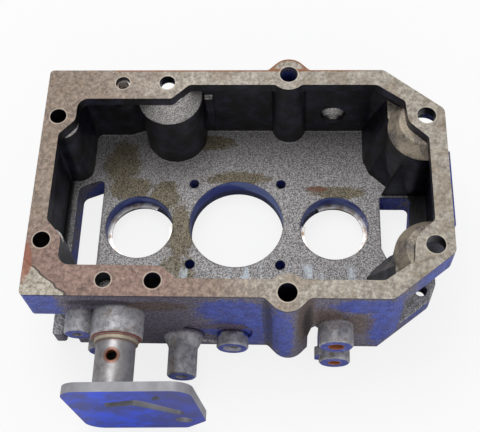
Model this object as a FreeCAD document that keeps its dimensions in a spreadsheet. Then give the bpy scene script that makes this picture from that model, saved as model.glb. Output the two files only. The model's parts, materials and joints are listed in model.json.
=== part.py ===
"""Gearbox housing: an open cast-iron case with a pressed-in spigot and its slotted plate.

Millimetres. +Z points up out of the open side, +X runs along the row of three bearing
seats, and the front wall with its bosses faces -Y. The origin is on the centre bearing
seat's axis, at the base plane.
"""
import FreeCAD, Part
import math
import os
import Sketcher

SIZES = {
    # case
    "case_left": 137.8,          # centre bore to left end
    "case_right": 151.5,         # centre bore to right end
    "half_width": 88.8,
    "case_height": 100,
    "wall": 6.3,
    "end_wall": 6.3,
    "floor_thick": 22.2,
    "flange_thick": 9,
    # rim corners and ears
    "left_corner_round": 3,
    "chamfer_start": 109.5,      # where the right corner cut leaves the long wall
    "chamfer_end": 55.4,         # where it meets the right wall
    "corner_round": 6,
    "ear_along": 40,
    "ear_inset": 3.7,            # ear bolt, in from the long wall's outer face
    "ear_radius": 13.3,
    # rim opening
    "lip_inset": 12.8,           # wall's outer face to the opening, along the ears
    "lip_left": 125.5,
    "lip_right": 139,
    "lip_back_inset": 24.8,      # the same at the left, back half
    "lip_front_inset": 21.8,     # the same at the left, front half
    "step_inner": 45.5,
    "step_outer": 33,
    "lip_post": 114.4,
    "lip_post_across": 46,
    "lip_cut_start": 104,
    "lip_cut_inset": 26.8,
    "lip_boss_along": 125.3,
    "lip_boss_across": 45,
    # rim holes
    "bolt_hole": 6.6,
    "left_bolt_along": 127.4,
    "left_bolt_across": 49,
    "left_bolt_hole": 6,
    "left_bolt_deep": 34,
    "right_bolt_along": 138.4,
    "right_bolt_across": 50.1,
    "dowel_along": 82.4,
    "dowel_inset": 11.2,
    "dowel_hole": 5.3,
    "dowel_deep": 14,
    "stud_along": 49.4,
    "stud_inset": 11,
    "stud_hole": 5.8,
    # inner bodies round the bolts
    "post_radius": 13,
    "stud_body": 24,
    "stud_post": 11,
    "corner_body": 26,
    "shoulder_drop": 11,         # height of the sloping tops under the flange
    "corner_web": 98,            # where the corner web stands on the floor
    "corner_web_lean": 15,       # how far it leans back by the shoulder
    "corner_web_spread": 5,      # how far it leans towards the long wall
    # bolt pockets in the outer wall
    "corner_pocket": 15,
    "bolt_head_pocket": 12,
    "stud_pocket": 13,
    "pocket_wall": 3.5,          # least metal between a pocket and the shoulder above it
    "foot_thick": 15,
    "foot_inset": 2,
    "foot_hole": 4.6,
    "left_block_deep": 37,
    "left_cut_along": 115,
    "left_cut_across": 66,
    "left_foot": 8,
    "left_foot_inset": 4,
    "left_foot_high": 15,
    # floor
    "seat_offset": 75,
    "seat_across": -3.2,
    "centre_seat": 36,
    "side_seat": 26,
    "cover_screw_pitch": 34,
    "cover_screw": 3.75,
    "slot_wide": 20,
    "slot_outer": 125,
    "slot_reach": 38,
    "window_inner": 110,
    "window_outer": 134,
    "window_reach": 23,
    "window_front": 31,
    "window_corner": 20,
    # snap rings
    "groove_radius": 27.6,
    "groove_wide": 2.2,
    "groove_under": 11.5,
    "ring_thick": 2,
    "ring_inner": 22.6,
    "ring_gap": 45,              # open part of the ring, degrees
    "ring_start": 15,            # gap's lower end above the long axis, degrees
    "fit_gap": 0.05,
    # front bosses
    "spigot_along": -75.6,
    "spigot_height": 68,
    "spigot_boss": 17.8,
    "spigot_collar": 15,         # machined step on the boss, round the tube
    "spigot_collar_long": 3.5,
    "spigot_boss_stand": 19.2,
    "small_along": -102.7,
    "small_height": 67.5,
    "small_boss": 9.5,
    "small_stand": 16.2,
    "small_hole": 3.5,
    "blind_along": -94,
    "blind_height": 13.5,
    "blind_boss": 12,
    "blind_stand": 11.2,
    "long_along": -35.7,
    "long_height": 18,
    "long_boss": 10.6,
    "long_root": 15.5,
    "long_root_tall": 9,
    "long_stand": 30.2,
    "long_hole": 4.3,
    "middle_height": 18,
    "middle_boss": 11.6,
    "middle_stand": 8.8,
    "middle_hole": 4.5,
    "middle_mouth": 7.2,
    "twin_along": 73.4,
    "twin_upper_height": 50,
    "twin_upper_boss": 12,
    "twin_upper_stand": 16.8,
    "twin_upper_hole": 5.3,
    "twin_lower_height": 16,
    "twin_lower_boss": 11.2,
    "twin_lower_stand": 17.7,
    "twin_lower_hole": 4.3,
    "boss_edge": 1,
    # front wall relief and notch
    "dish_along": -10.4,
    "dish_height": 28.5,
    "dish_radius": 25,
    "dish_deep": 2,
    "notch_left": 50,
    "notch_right": 63,
    "notch_apex_along": 59,
    "notch_high": 44,
    "notch_deep": 28,
    # cast details
    "rib_along": -21,
    "rib_half": 3,
    "rib_stand": 4,
    "rib_low": 40,
    "rib_high": 76,
    "dome_along": 74,
    "dome_height": 48,
    "dome_radius": 10,
    "dome_stand": 6,
    "pad_stand": 2.5,
    "pad_front": 32,
    "pad_back": 25,
    "pad_top": 92,
    # spigot tube
    "tube_radius": 13.5,
    "tube_bore": 9,
    "tube_seat": 24,
    "cross_hole": 3.6,
    "cross_hole_stand": 34.2,
    "tube_stand": 55,
    # slotted plate
    "plate_wide": 88,
    "plate_high": 83,
    "plate_thick": 6.5,
    "plate_round": 13,
    "plate_cut": 16,
    "plate_offset": 13.5,
    "plate_drop": 23.1,
    "plate_turn": 5.5,
    "plate_lean": 2.5,
    "plate_bolt": 6,
    # ring dowel
    "dowel_wall": 1.3,
    "dowel_long": 10,
}


def number(size):
    return size.value if isinstance(size, Size) else float(size)


def formula(size):
    return size.text if isinstance(size, Size) else repr(float(size))


class Size:
    """A length that carries its number and the sheet formula it comes from."""

    def __init__(self, value, text):
        self.value = value
        self.text = text

    def __add__(self, other):
        return Size(self.value + number(other), f"({self.text} + {formula(other)})")

    def __radd__(self, other):
        return Size(number(other) + self.value, f"({formula(other)} + {self.text})")

    def __sub__(self, other):
        return Size(self.value - number(other), f"({self.text} - {formula(other)})")

    def __rsub__(self, other):
        return Size(number(other) - self.value, f"({formula(other)} - {self.text})")

    def __mul__(self, other):
        return Size(self.value * number(other), f"({self.text} * {formula(other)})")

    def __rmul__(self, other):
        return Size(number(other) * self.value, f"({formula(other)} * {self.text})")

    def __truediv__(self, other):
        return Size(self.value / number(other), f"({self.text} / {formula(other)})")

    def __neg__(self):
        return Size(-self.value, f"(-{self.text})")


doc = FreeCAD.newDocument("gearbox_housing")
sheet = doc.addObject("Spreadsheet::Sheet", "Sizes")
for row, (alias, value) in enumerate(SIZES.items(), start=1):
    sheet.set(f"A{row}", alias)
    sheet.set(f"B{row}", str(value))
    sheet.setAlias(f"B{row}", alias)
doc.recompute()


def size(alias):
    return Size(float(SIZES[alias]), f"Sizes.{alias}")


def bind(thing, target, value):
    """Set a property, and tie it to the sheet where the value comes from there."""
    if isinstance(value, Size):
        thing.setExpression(target, value.text)


FLAT = FreeCAD.Rotation(0, 0, 0)
FACING_FRONT = FreeCAD.Rotation(FreeCAD.Vector(1, 0, 0), 90)
FACING_BACK = FreeCAD.Rotation(FreeCAD.Vector(1, 0, 0), -90)


def place(thing, x, y, z, turn=FLAT):
    thing.Placement = FreeCAD.Placement(FreeCAD.Vector(number(x), number(y), number(z)), turn)
    for axis, value in zip("xyz", (x, y, z)):
        bind(thing, f"Placement.Base.{axis}", value)
    return thing


# ---- closed sketches with rounded corners

def draw(sketch, corners):
    """Fill a sketch with a closed outline; a corner is (x, y) or (x, y, radius)."""
    spots = [FreeCAD.Vector(number(c[0]), number(c[1]), 0) for c in corners]
    rounds = [number(c[2]) if len(c) > 2 else 0.0 for c in corners]
    count = len(corners)
    starts, ends, arcs = [], [], {}
    for i, spot in enumerate(spots):
        before = (spots[i - 1] - spot).normalize()
        after = (spots[(i + 1) % count] - spot).normalize()
        half = before.getAngle(after) / 2
        reach = rounds[i] / math.tan(half)
        ends.append(spot + before * reach)
        starts.append(spot + after * reach)
        if rounds[i]:
            centre = spot + (before + after).normalize() * (rounds[i] / math.sin(half))
            first, last = ends[i] - centre, starts[i] - centre
            left_turn = first.cross(last).z > 0
            if not left_turn:
                first, last = last, first
            circle = Part.Circle(centre, FreeCAD.Vector(0, 0, 1), rounds[i])
            span = (math.atan2(first.y, first.x), math.atan2(last.y, last.x))
            arcs[i] = (Part.ArcOfCircle(circle, *span), left_turn)
    sketch.addGeometry([Part.LineSegment(starts[i], ends[(i + 1) % count]) for i in range(count)])
    rules, ties = [], []
    for i, corner in enumerate(corners):
        line_in, line_out = (i - 1) % count, i
        if i in arcs:
            arc, left_turn = arcs[i]
            bend = sketch.addGeometry(arc)
            mark = sketch.addGeometry(Part.Point(spots[i]), True)
            arc_start, arc_end = (1, 2) if left_turn else (2, 1)
            rules += [
                Sketcher.Constraint("PointOnObject", mark, 1, line_in),
                Sketcher.Constraint("PointOnObject", mark, 1, line_out),
                Sketcher.Constraint("Tangent", line_in, 2, bend, arc_start),
                Sketcher.Constraint("Tangent", bend, arc_end, line_out, 1),
                Sketcher.Constraint("Radius", bend, rounds[i]),
            ]
            ties.append((len(rules) - 1, corner[2]))
        else:
            mark = line_out
            rules.append(Sketcher.Constraint("Coincident", line_in, 2, line_out, 1))
        rules.append(Sketcher.Constraint("DistanceX", mark, 1, spots[i].x))
        ties.append((len(rules) - 1, corner[0]))
        rules.append(Sketcher.Constraint("DistanceY", mark, 1, spots[i].y))
        ties.append((len(rules) - 1, corner[1]))
    sketch.addConstraint(rules)
    for rule, value in ties:
        bind(sketch, f"Constraints[{rule}]", value)


def outline(name, corners, turn=FLAT, shift=(0, 0, 0)):
    sketch = doc.addObject("Sketcher::SketchObject", f"{name}_outline")
    place(sketch, *shift, turn)
    draw(sketch, corners)
    return sketch


def prism(name, corners, low, high):
    """Upright prism between two heights."""
    solid = doc.addObject("Part::Extrusion", name)
    solid.Base = outline(name, corners, shift=(0, 0, low))
    solid.DirMode = "Custom"
    solid.Dir = FreeCAD.Vector(0, 0, 1)
    solid.Solid = True
    solid.LengthFwd = number(high) - number(low)
    bind(solid, "LengthFwd", high - low)
    return solid


def front_prism(name, corners, start, end):
    """Prism that runs towards the front, from one Y to a lower one; corners are (x, z)."""
    solid = doc.addObject("Part::Extrusion", name)
    solid.Base = outline(name, corners, FACING_FRONT, (0, start, 0))
    solid.DirMode = "Custom"
    solid.Dir = FreeCAD.Vector(0, -1, 0)
    solid.Solid = True
    solid.LengthFwd = number(start) - number(end)
    bind(solid, "LengthFwd", start - end)
    return solid


# ---- round solids and booleans

def post(name, x, y, low, high, radius):
    solid = doc.addObject("Part::Cylinder", name)
    bind(solid, "Radius", radius)
    bind(solid, "Height", high - low)
    return place(solid, x, y, low)


def cone(name, x, y, low, high, low_radius, high_radius):
    solid = doc.addObject("Part::Cone", name)
    bind(solid, "Radius1", low_radius)
    bind(solid, "Radius2", high_radius)
    bind(solid, "Height", high - low)
    return place(solid, x, y, low)


def front_rod(name, x, z, start, end, radius, end_radius=None):
    """Round bar or cone that runs towards the front, from one Y to a lower one."""
    solid = doc.addObject("Part::Cylinder" if end_radius is None else "Part::Cone", name)
    if end_radius is None:
        bind(solid, "Radius", radius)
    else:
        bind(solid, "Radius1", radius)
        bind(solid, "Radius2", end_radius)
    bind(solid, "Height", start - end)
    return place(solid, x, start, z, FACING_FRONT)


def block(name, x, y, z):
    """Box between two corners, each given as a (low, high) pair."""
    solid = doc.addObject("Part::Box", name)
    for side, (low, high) in zip(("Length", "Width", "Height"), (x, y, z)):
        bind(solid, side, high - low)
    return place(solid, x[0], y[0], z[0])


def fuse(name, solids):
    joined = doc.addObject("Part::MultiFuse", name)
    joined.Shapes = solids
    return joined


def cut(name, base, tool):
    left = doc.addObject("Part::Cut", name)
    left.Base = base
    left.Tool = tool
    return left


def common(name, base, tool):
    shared = doc.addObject("Part::Common", name)
    shared.Base = base
    shared.Tool = tool
    return shared


def mirrored(corners):
    """Half an outline from left to right at +Y, closed with its mirror image at -Y."""
    return corners + [(c[0], -c[1], *c[2:]) for c in reversed(corners)]


BASE = size("case_height") * 0
RIM = size("case_height")
FLANGE = RIM - size("flange_thick")
FLOOR = size("floor_thick")
FRONT = -size("half_width")
INNER_LONG = size("half_width") - size("wall")
INNER_LEFT = size("case_left") - size("end_wall")
INNER_RIGHT = size("case_right") - size("end_wall")
CLEAR = 1.0                      # how far a cutter runs past the face it cuts
SIDES = (("back", 1), ("front", -1))


def inward(inset):
    """How far across a thing lies that is set in from the long wall's outer face."""
    return size("half_width") - size(inset)


def outward(stand):
    """How far across a thing ends that stands out from the long wall's outer face."""
    return size("half_width") + size(stand)


def ear_corners(edge, across, sense):
    """Three corners of an ear that leaves a long edge at 45 degrees and rounds its bolt."""
    apex = across + sense * size("ear_radius") * math.sqrt(2)
    half = sense * (apex - edge)
    along = size("ear_along")
    return [(along - half, edge, 4), (along, apex, size("ear_radius")), (along + half, edge, 4)]


# ---- case block and the space inside it

def case_block():
    half = size("half_width")
    ear = ear_corners(half, inward("ear_inset"), 1)
    return prism("case_block", mirrored([
        (-size("case_left"), half, size("left_corner_round")),
        *ear,
        (size("chamfer_start"), half, size("corner_round")),
        (size("case_right"), size("chamfer_end"), size("corner_round")),
    ]), BASE, RIM)


def rim_opening():
    """Opening through the flange: narrow at the left, wide between the ears."""
    def half(step):
        return [
            (-size("lip_left"), size("lip_post_across") - 12, 5),
            (-size("lip_post"), size("lip_post_across"), 8),
            (-size("lip_post"), step, 8),
            (-size("step_inner"), step, 5),
            (-size("step_outer"), inward("lip_inset"), 4),
            *ear_corners(inward("lip_inset"), inward("ear_inset"), -1),
            (size("lip_cut_start"), inward("lip_inset"), 6),
            (size("lip_boss_along") - 1.5, inward("lip_cut_inset"), 4),
            (size("lip_boss_along"), size("lip_boss_across"), 10),
            (size("lip_right"), size("lip_boss_across") - 13, 4),
        ]
    front = [(c[0], -c[1], *c[2:]) for c in reversed(half(inward("lip_front_inset")))]
    return prism("rim_opening", half(inward("lip_back_inset")) + front, FLANGE - CLEAR, RIM + CLEAR)


def inner_space():
    """Space below the flange, with the square posts round the two left bolts."""
    post_edge = size("left_bolt_along") - size("post_radius")
    return prism("inner_space", mirrored([
        (-INNER_LEFT, size("left_bolt_across") - size("post_radius"), 2),
        (-post_edge, size("left_bolt_across") - size("post_radius"), 11),
        (-post_edge, INNER_LONG - 4, 5),
        (-size("dowel_along") - 4, INNER_LONG - 4, 3),
        (-size("dowel_along") + 6, INNER_LONG, 3),
        (size("chamfer_start") - 6, INNER_LONG, 5),
        (INNER_RIGHT, size("chamfer_end") - 4, 5),
    ]), FLOOR, FLANGE)


def corner_web(side, sense):
    """Sloping web that joins a corner bolt body to the long wall and the floor opening."""
    far = INNER_RIGHT + CLEAR
    wall_line = sense * size("half_width")
    across = size("right_bolt_across")
    edge = size("window_reach") if sense > 0 else size("window_front")
    spread = 0 if sense > 0 else 6
    foot = size("corner_web")
    web = doc.addObject("Part::Extrusion", f"corner_web_{side}")
    web.Base = outline(f"corner_web_{side}_foot", [
        (foot, wall_line),
        (foot, sense * (across + 5 - 2 * spread)),
        (foot + 4, sense * (across - 6 - spread)),
        (size("window_inner") + 5, sense * (across - 18 - spread)),
        (size("window_inner") + 1, sense * (edge + 1.5)),
        (far, sense * (edge + 1.5)),
        (far, wall_line),
    ], shift=(0, 0, FLOOR - CLEAR))
    web.Solid = True
    web.DirMode = "Custom"
    rise = FLANGE - size("shoulder_drop") - FLOOR + CLEAR
    slant = (size("corner_web_lean"), sense * (size("corner_web_spread") + 1.5 * spread), rise)
    web.Dir = FreeCAD.Vector(*[number(part) for part in slant])
    for axis, part in zip("xyz", slant):
        web.setExpression(f"Dir.{axis}", formula(part))
    return web


def inner_bodies():
    """Bolt bodies, posts and small cast details that stand inside the case."""
    shoulder = FLANGE - size("shoulder_drop")
    low = FLOOR - CLEAR
    solids = []
    for side, sense in SIDES:
        corner = (size("right_bolt_along"), sense * size("right_bolt_across"))
        solids += [
            post(f"corner_body_{side}", *corner, low, shoulder, size("corner_body")),
            cone(f"corner_shoulder_{side}", *corner, shoulder, FLANGE,
                 size("corner_body"), size("corner_pocket") + size("pocket_wall")),
            corner_web(side, sense),
            post(f"ear_post_{side}", size("ear_along"), sense * inward("ear_inset"),
                 low, FLANGE, size("ear_radius")),
            *dome(side, sense),
        ]
    stud = (-size("stud_along"), inward("stud_inset"))
    solids += [
        post("stud_body_back", *stud, low, shoulder, size("stud_body")),
        cone("stud_shoulder_back", *stud, shoulder, FLANGE, size("stud_body"),
             size("stud_pocket") + size("pocket_wall")),
        post("stud_post_front", stud[0], -stud[1], low, FLANGE, size("stud_post")),
        post("dowel_post_front", -size("dowel_along"), -inward("dowel_inset"), low, FLANGE,
             size("stud_post")),
        post("dowel_post_back", -size("dowel_along"), inward("dowel_inset"),
             RIM - size("dowel_deep") - size("wall"), FLANGE, size("stud_post")),
        block("wall_rib", (size("rib_along") - size("rib_half"), size("rib_along") + size("rib_half")),
              (INNER_LONG - size("rib_stand"), INNER_LONG + CLEAR),
              (size("rib_low"), size("rib_high"))),
        block("notch_cover", (size("notch_left") - size("wall"), size("notch_right") + size("wall")),
              (FRONT + CLEAR, FRONT + size("notch_deep") + size("wall")),
              (low, size("notch_high") + size("wall") / 2)),
    ]
    return common("inner_bodies", fuse("inner_body_group", solids), block_solid)


def dome(side, sense):
    """Two-step nose on the inner face of a long wall, cast round the end of a boss."""
    x, z = size("dome_along"), size("dome_height")
    radius = size("dome_radius")
    steps = [
        (INNER_LONG + CLEAR, radius),
        (INNER_LONG - size("dome_stand") * 0.6, radius * 0.72),
        (INNER_LONG - size("dome_stand"), radius * 0.3),
    ]
    if sense < 0:
        steps = [(-y, r) for y, r in reversed(steps)]
    return [front_rod(f"dome_{side}_{step}", x, z, start, end, wide, narrow)
            for step, ((start, wide), (end, narrow)) in enumerate(zip(steps, steps[1:]))]


# ---- what is cut from the outside of the case

def outer_cuts():
    """Bolt pockets under the flange, cut-back left corners, front dish and notch."""
    beyond = size("half_width") + 3 * CLEAR
    solids = []
    for side, sense in SIDES:
        along, across = size("right_bolt_along"), size("right_bolt_across")
        foot_top = size("foot_thick")
        pocket_top = FLANGE - size("shoulder_drop") - size("pocket_wall")
        pocket_edge = along - size("corner_pocket")
        pocket = [
            (size("corner_web") + size("corner_web_lean") + size("wall"), sense * beyond),
            (size("corner_web") + size("corner_web_lean") + size("wall"),
             sense * (across + size("corner_pocket"))),
            (pocket_edge, sense * across),
            (along, sense * across),
            (along, sense * (across - size("corner_pocket"))),
            (size("case_right") + 3 * CLEAR, sense * (across - size("corner_pocket") + 2)),
            (size("case_right") + 3 * CLEAR, sense * beyond),
        ]
        solids += [
            prism(f"corner_pocket_{side}", pocket, foot_top, pocket_top),
            post(f"corner_pocket_round_{side}", along, sense * across, foot_top, pocket_top,
                 size("corner_pocket")),
            post(f"bolt_head_pocket_{side}", along, sense * across, foot_top, FLANGE,
                 size("bolt_head_pocket")),
            prism(f"left_corner_cut_{side}", [
                (-size("case_left") - 3 * CLEAR, sense * size("left_cut_across")),
                (-size("case_left") + 2, sense * size("left_cut_across"), 8),
                (-size("left_cut_along"), sense * (size("half_width") - 2), 8),
                (-size("left_cut_along"), sense * beyond),
                (-size("case_left") - 3 * CLEAR, sense * beyond),
            ], BASE - CLEAR, RIM - size("left_block_deep")),
            prism(f"foot_trim_{side}", [
                (size("chamfer_start") - 4, sense * (size("half_width") + CLEAR)),
                (size("chamfer_start") - 4, sense * size("half_width")),
                (size("case_right") - 7, sense * (size("chamfer_end") + 3), 8),
                (size("case_right") - size("foot_inset"), sense * (size("chamfer_end") - 10), 8),
                (size("case_right") - size("foot_inset"), sense * size("pad_front")),
                (size("case_right") + CLEAR, sense * size("pad_front")),
                (size("case_right") + CLEAR, sense * (size("half_width") + CLEAR)),
            ], BASE - CLEAR, foot_top),
        ]
    solids += [
        post("stud_pocket", -size("stud_along"), inward("stud_inset"), BASE - CLEAR, FLANGE,
             size("stud_pocket")),
        block("stud_pocket_mouth", (-size("stud_along") - size("stud_pocket"),
                                    -size("stud_along") + size("stud_pocket")),
              (inward("stud_inset"), beyond), (BASE - CLEAR, FLANGE)),
        front_rod("dish", size("dish_along"), size("dish_height"),
                  FRONT + size("dish_deep"), FRONT - CLEAR, size("dish_radius")),
        front_prism("notch", [
            (size("notch_left"), -CLEAR),
            (size("notch_apex_along") - 2.5, size("notch_high") - 4, 4),
            (size("notch_apex_along"), size("notch_high")),
            (size("notch_right"), size("notch_high") - 7, 4),
            (size("notch_right"), -CLEAR),
        ], FRONT + size("notch_deep"), FRONT - CLEAR),
    ]
    return fuse("outer_cuts", solids)


# ---- bosses on the front wall

def front_bosses():
    root = FRONT + CLEAR
    chamfer = size("boss_edge")

    def boss(name, x, z, end, radius):
        tip = -end + chamfer
        return [front_rod(name, x, z, root, tip, radius),
                front_rod(f"{name}_tip", x, z, tip, -end, radius, radius - chamfer)]

    collar_end = outward("spigot_boss_stand") + size("spigot_collar_long")
    solids = [
        front_rod("spigot_collar", size("spigot_along"), size("spigot_height"), root, -collar_end,
                  size("spigot_collar")),
        *boss("spigot_boss", size("spigot_along"), size("spigot_height"),
              outward("spigot_boss_stand"), size("spigot_boss")),
        *boss("small_boss", size("small_along"), size("small_height"),
              outward("small_stand"), size("small_boss")),
        *boss("blind_boss", size("blind_along"), size("blind_height"),
              outward("blind_stand"), size("blind_boss")),
        *boss("long_boss", size("long_along"), size("long_height"),
              outward("long_stand"), size("long_boss")),
        *boss("middle_boss", BASE, size("middle_height"), outward("middle_stand"),
              size("middle_boss")),
        *boss("twin_upper_boss", size("twin_along"), size("twin_upper_height"),
              outward("twin_upper_stand"), size("twin_upper_boss")),
        *boss("twin_lower_boss", size("twin_along"), size("twin_lower_height"),
              outward("twin_lower_stand"), size("twin_lower_boss")),
        front_rod("long_boss_root", size("long_along"), size("long_height"), root,
                  FRONT - size("long_root_tall"), size("long_root"), size("long_boss")),
        front_prism("twin_web", [
            (size("twin_along") - size("twin_lower_boss") - 3, size("twin_lower_height") - 6, 2),
            (size("twin_along"), size("twin_lower_height") - 8),
            (size("twin_along"), size("twin_lower_height") + 12),
            (size("twin_along") - size("twin_lower_boss") - 3, size("twin_lower_height") + 4, 2),
        ], FRONT - 7, -outward("twin_lower_stand") + 4),
        front_prism("twin_column", [
            (size("twin_along") - size("twin_upper_boss"), size("twin_lower_height")),
            (size("twin_along") + size("twin_upper_boss"), size("twin_lower_height")),
            (size("twin_along") + size("twin_upper_boss"), size("twin_upper_height")),
            (size("twin_along") - size("twin_upper_boss"), size("twin_upper_height")),
        ], root, FRONT - 6),
        block("side_pad", (size("case_right") - CLEAR, size("case_right") + size("pad_stand")),
              (-size("pad_front"), size("pad_back")), (BASE, size("pad_top"))),
        prism("left_foot", [
            (-size("case_left") + size("left_foot_inset"), FRONT + 1, 2),
            (-size("case_left") + size("left_foot_inset") + size("left_foot"), FRONT + 1, 2),
            (-size("case_left") + 2 * size("left_foot"), -size("left_cut_across") + 4),
            (-size("case_left") + size("left_foot_inset"), -size("left_cut_across") + 4),
        ], BASE, size("left_foot_high")),
    ]
    return fuse("front_bosses", solids)


# ---- holes and floor openings

def holes():
    low, high = BASE - CLEAR, RIM + CLEAR
    seats = (("left", -size("seat_offset")), ("right", size("seat_offset")))
    groove_top = FLOOR - size("groove_under")
    wall_in = FRONT + size("wall") + CLEAR
    solids = [post("centre_seat", BASE, BASE, low, FLOOR + CLEAR, size("centre_seat"))]
    for side, x in seats:
        solids += [
            post(f"{side}_seat", x, size("seat_across"), low, FLOOR + CLEAR, size("side_seat")),
            post(f"{side}_groove", x, size("seat_across"), groove_top - size("groove_wide"),
                 groove_top, size("groove_radius")),
        ]
    pitch = size("cover_screw_pitch")
    for number_, (across, along) in enumerate(((-1, -1), (-1, 1), (1, -1), (1, 1)), start=1):
        solids.append(post(f"cover_screw_{number_}", across * pitch, along * pitch, low,
                           FLOOR + CLEAR, size("cover_screw")))
    for side, sense in SIDES:
        solids += [
            post(f"left_bolt_{side}", -size("left_bolt_along"), sense * size("left_bolt_across"),
                 RIM - size("left_bolt_deep"), high, size("left_bolt_hole")),
            post(f"dowel_hole_{side}", -size("dowel_along"), sense * inward("dowel_inset"),
                 RIM - size("dowel_deep"), high, size("dowel_hole")),
            post(f"stud_hole_{side}", -size("stud_along"), sense * inward("stud_inset"),
                 RIM - size("left_bolt_deep"), high, size("stud_hole")),
            post(f"ear_hole_{side}", size("ear_along"), sense * inward("ear_inset"), low, high,
                 size("bolt_hole")),
            post(f"right_bolt_{side}", size("right_bolt_along"),
                 sense * size("right_bolt_across"), FLANGE - CLEAR, high, size("bolt_hole")),
            post(f"foot_hole_{side}", size("right_bolt_along"),
                 sense * size("right_bolt_across"), low, size("foot_thick") + CLEAR,
                 size("foot_hole")),
        ]
    solids += [
        prism("left_slot", [
            (-size("slot_outer"), -size("slot_reach"), 4),
            (-(size("slot_outer") - size("slot_wide")), -size("slot_reach"), 4),
            (-(size("slot_outer") - size("slot_wide")), size("slot_reach"), 4),
            (-size("slot_outer"), size("slot_reach") - 8, 6),
        ], low, FLOOR + CLEAR),
        prism("right_window", [
            (size("window_inner"), -size("window_corner")),
            (size("window_inner") + 5, -size("window_front"), 2),
            (size("window_outer") - 6, -size("window_front"), 4),
            (size("window_outer"), size("window_reach"), 4),
            (size("window_inner"), size("window_reach"), 2),
        ], low, FLOOR + CLEAR),
        front_rod("small_hole", size("small_along"), size("small_height"), wall_in,
                  -outward("small_stand") - CLEAR, size("small_hole")),
        front_rod("spigot_hole", size("spigot_along"), size("spigot_height"), wall_in,
                  -outward("spigot_boss_stand") - size("spigot_collar_long") - CLEAR,
                  size("tube_radius")),
        front_rod("long_hole", size("long_along"), size("long_height"), FRONT,
                  -outward("long_stand") - CLEAR, size("long_hole")),
        front_rod("middle_hole", BASE, size("middle_height"), FRONT + 12,
                  -outward("middle_stand") - CLEAR, size("middle_hole")),
        front_rod("middle_mouth", BASE, size("middle_height"), -outward("middle_stand") + 1.5,
                  -outward("middle_stand") - CLEAR, size("middle_hole"),
                  size("middle_mouth") + CLEAR),
        front_rod("twin_upper_hole", size("twin_along"), size("twin_upper_height"), wall_in,
                  -outward("twin_upper_stand") - CLEAR, size("twin_upper_hole")),
        front_rod("twin_lower_hole", size("twin_along"), size("twin_lower_height"), FRONT + 12,
                  -outward("twin_lower_stand") - CLEAR, size("twin_lower_hole")),
    ]
    return fuse("holes", solids)


block_solid = case_block()
shell = cut("shell", block_solid, fuse("hollow", [inner_space(), rim_opening()]))
rough = cut("rough_shell", fuse("filled_shell", [shell, inner_bodies()]), outer_cuts())
housing = cut("housing", fuse("casting", [rough, front_bosses()]), holes())
housing.Label = "housing"


# ---- turned and flat pieces, each a body of its own

def body(label):
    piece = doc.addObject("PartDesign::Body", f"{label}_body")
    piece.Label = label
    return piece


def origin_plane(piece, role):
    return next(f for f in piece.Origin.OriginFeatures if f.Role == role)


def body_sketch(piece, name, corners, role="XY_Plane"):
    sketch = piece.newObject("Sketcher::SketchObject", name)
    sketch.AttachmentSupport = [(origin_plane(piece, role), "")]
    sketch.MapMode = "FlatFace"
    draw(sketch, corners)
    return sketch


def add_circle(sketch, x, y, radius):
    """Circle at a place in a sketch, with its radius and centre tied to the sheet."""
    centre = FreeCAD.Vector(number(x), number(y), 0)
    ring = sketch.addGeometry(Part.Circle(centre, FreeCAD.Vector(0, 0, 1), number(radius)))
    ties = (("Radius", (ring,), radius), ("DistanceX", (ring, 3), x), ("DistanceY", (ring, 3), y))
    for kind, target, value in ties:
        rule = sketch.addConstraint(Sketcher.Constraint(kind, *target, number(value)))
        bind(sketch, f"Constraints[{rule}]", value)


def revolved(piece, name, corners):
    """Turn a half section, drawn as (radius, length), about the body's own Y axis."""
    sketch = body_sketch(piece, f"{name}_section", corners)
    turned = piece.newObject("PartDesign::Revolution", name)
    turned.Profile = sketch
    turned.ReferenceAxis = (sketch, ["V_Axis"])
    turned.Angle = 360
    return turned


def pad(piece, name, sketch, length, kind="PartDesign::Pad"):
    feature = piece.newObject(kind, name)
    feature.Profile = sketch
    feature.Length = number(length)
    bind(feature, "Length", length)
    return feature


def plate_placement():
    """Back face centre of the slotted plate, leaning forwards at the foot and turned."""
    x = size("spigot_along") + size("plate_offset")
    z = size("spigot_height") - size("plate_drop")
    y = -outward("tube_stand")
    lean = 90 - size("plate_lean")
    turn = -size("plate_turn")
    text = (f"create(<<placement>>; create(<<vector>>; {formula(x)}; {formula(y)}; {formula(z)});"
            f" create(<<rotation>>; 0; {formula(turn)}; {formula(lean)}))")
    turned = FreeCAD.Rotation(0, number(turn), number(lean))
    spot = FreeCAD.Vector(number(x), number(y), number(z))
    return FreeCAD.Placement(spot, turned), text


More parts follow.
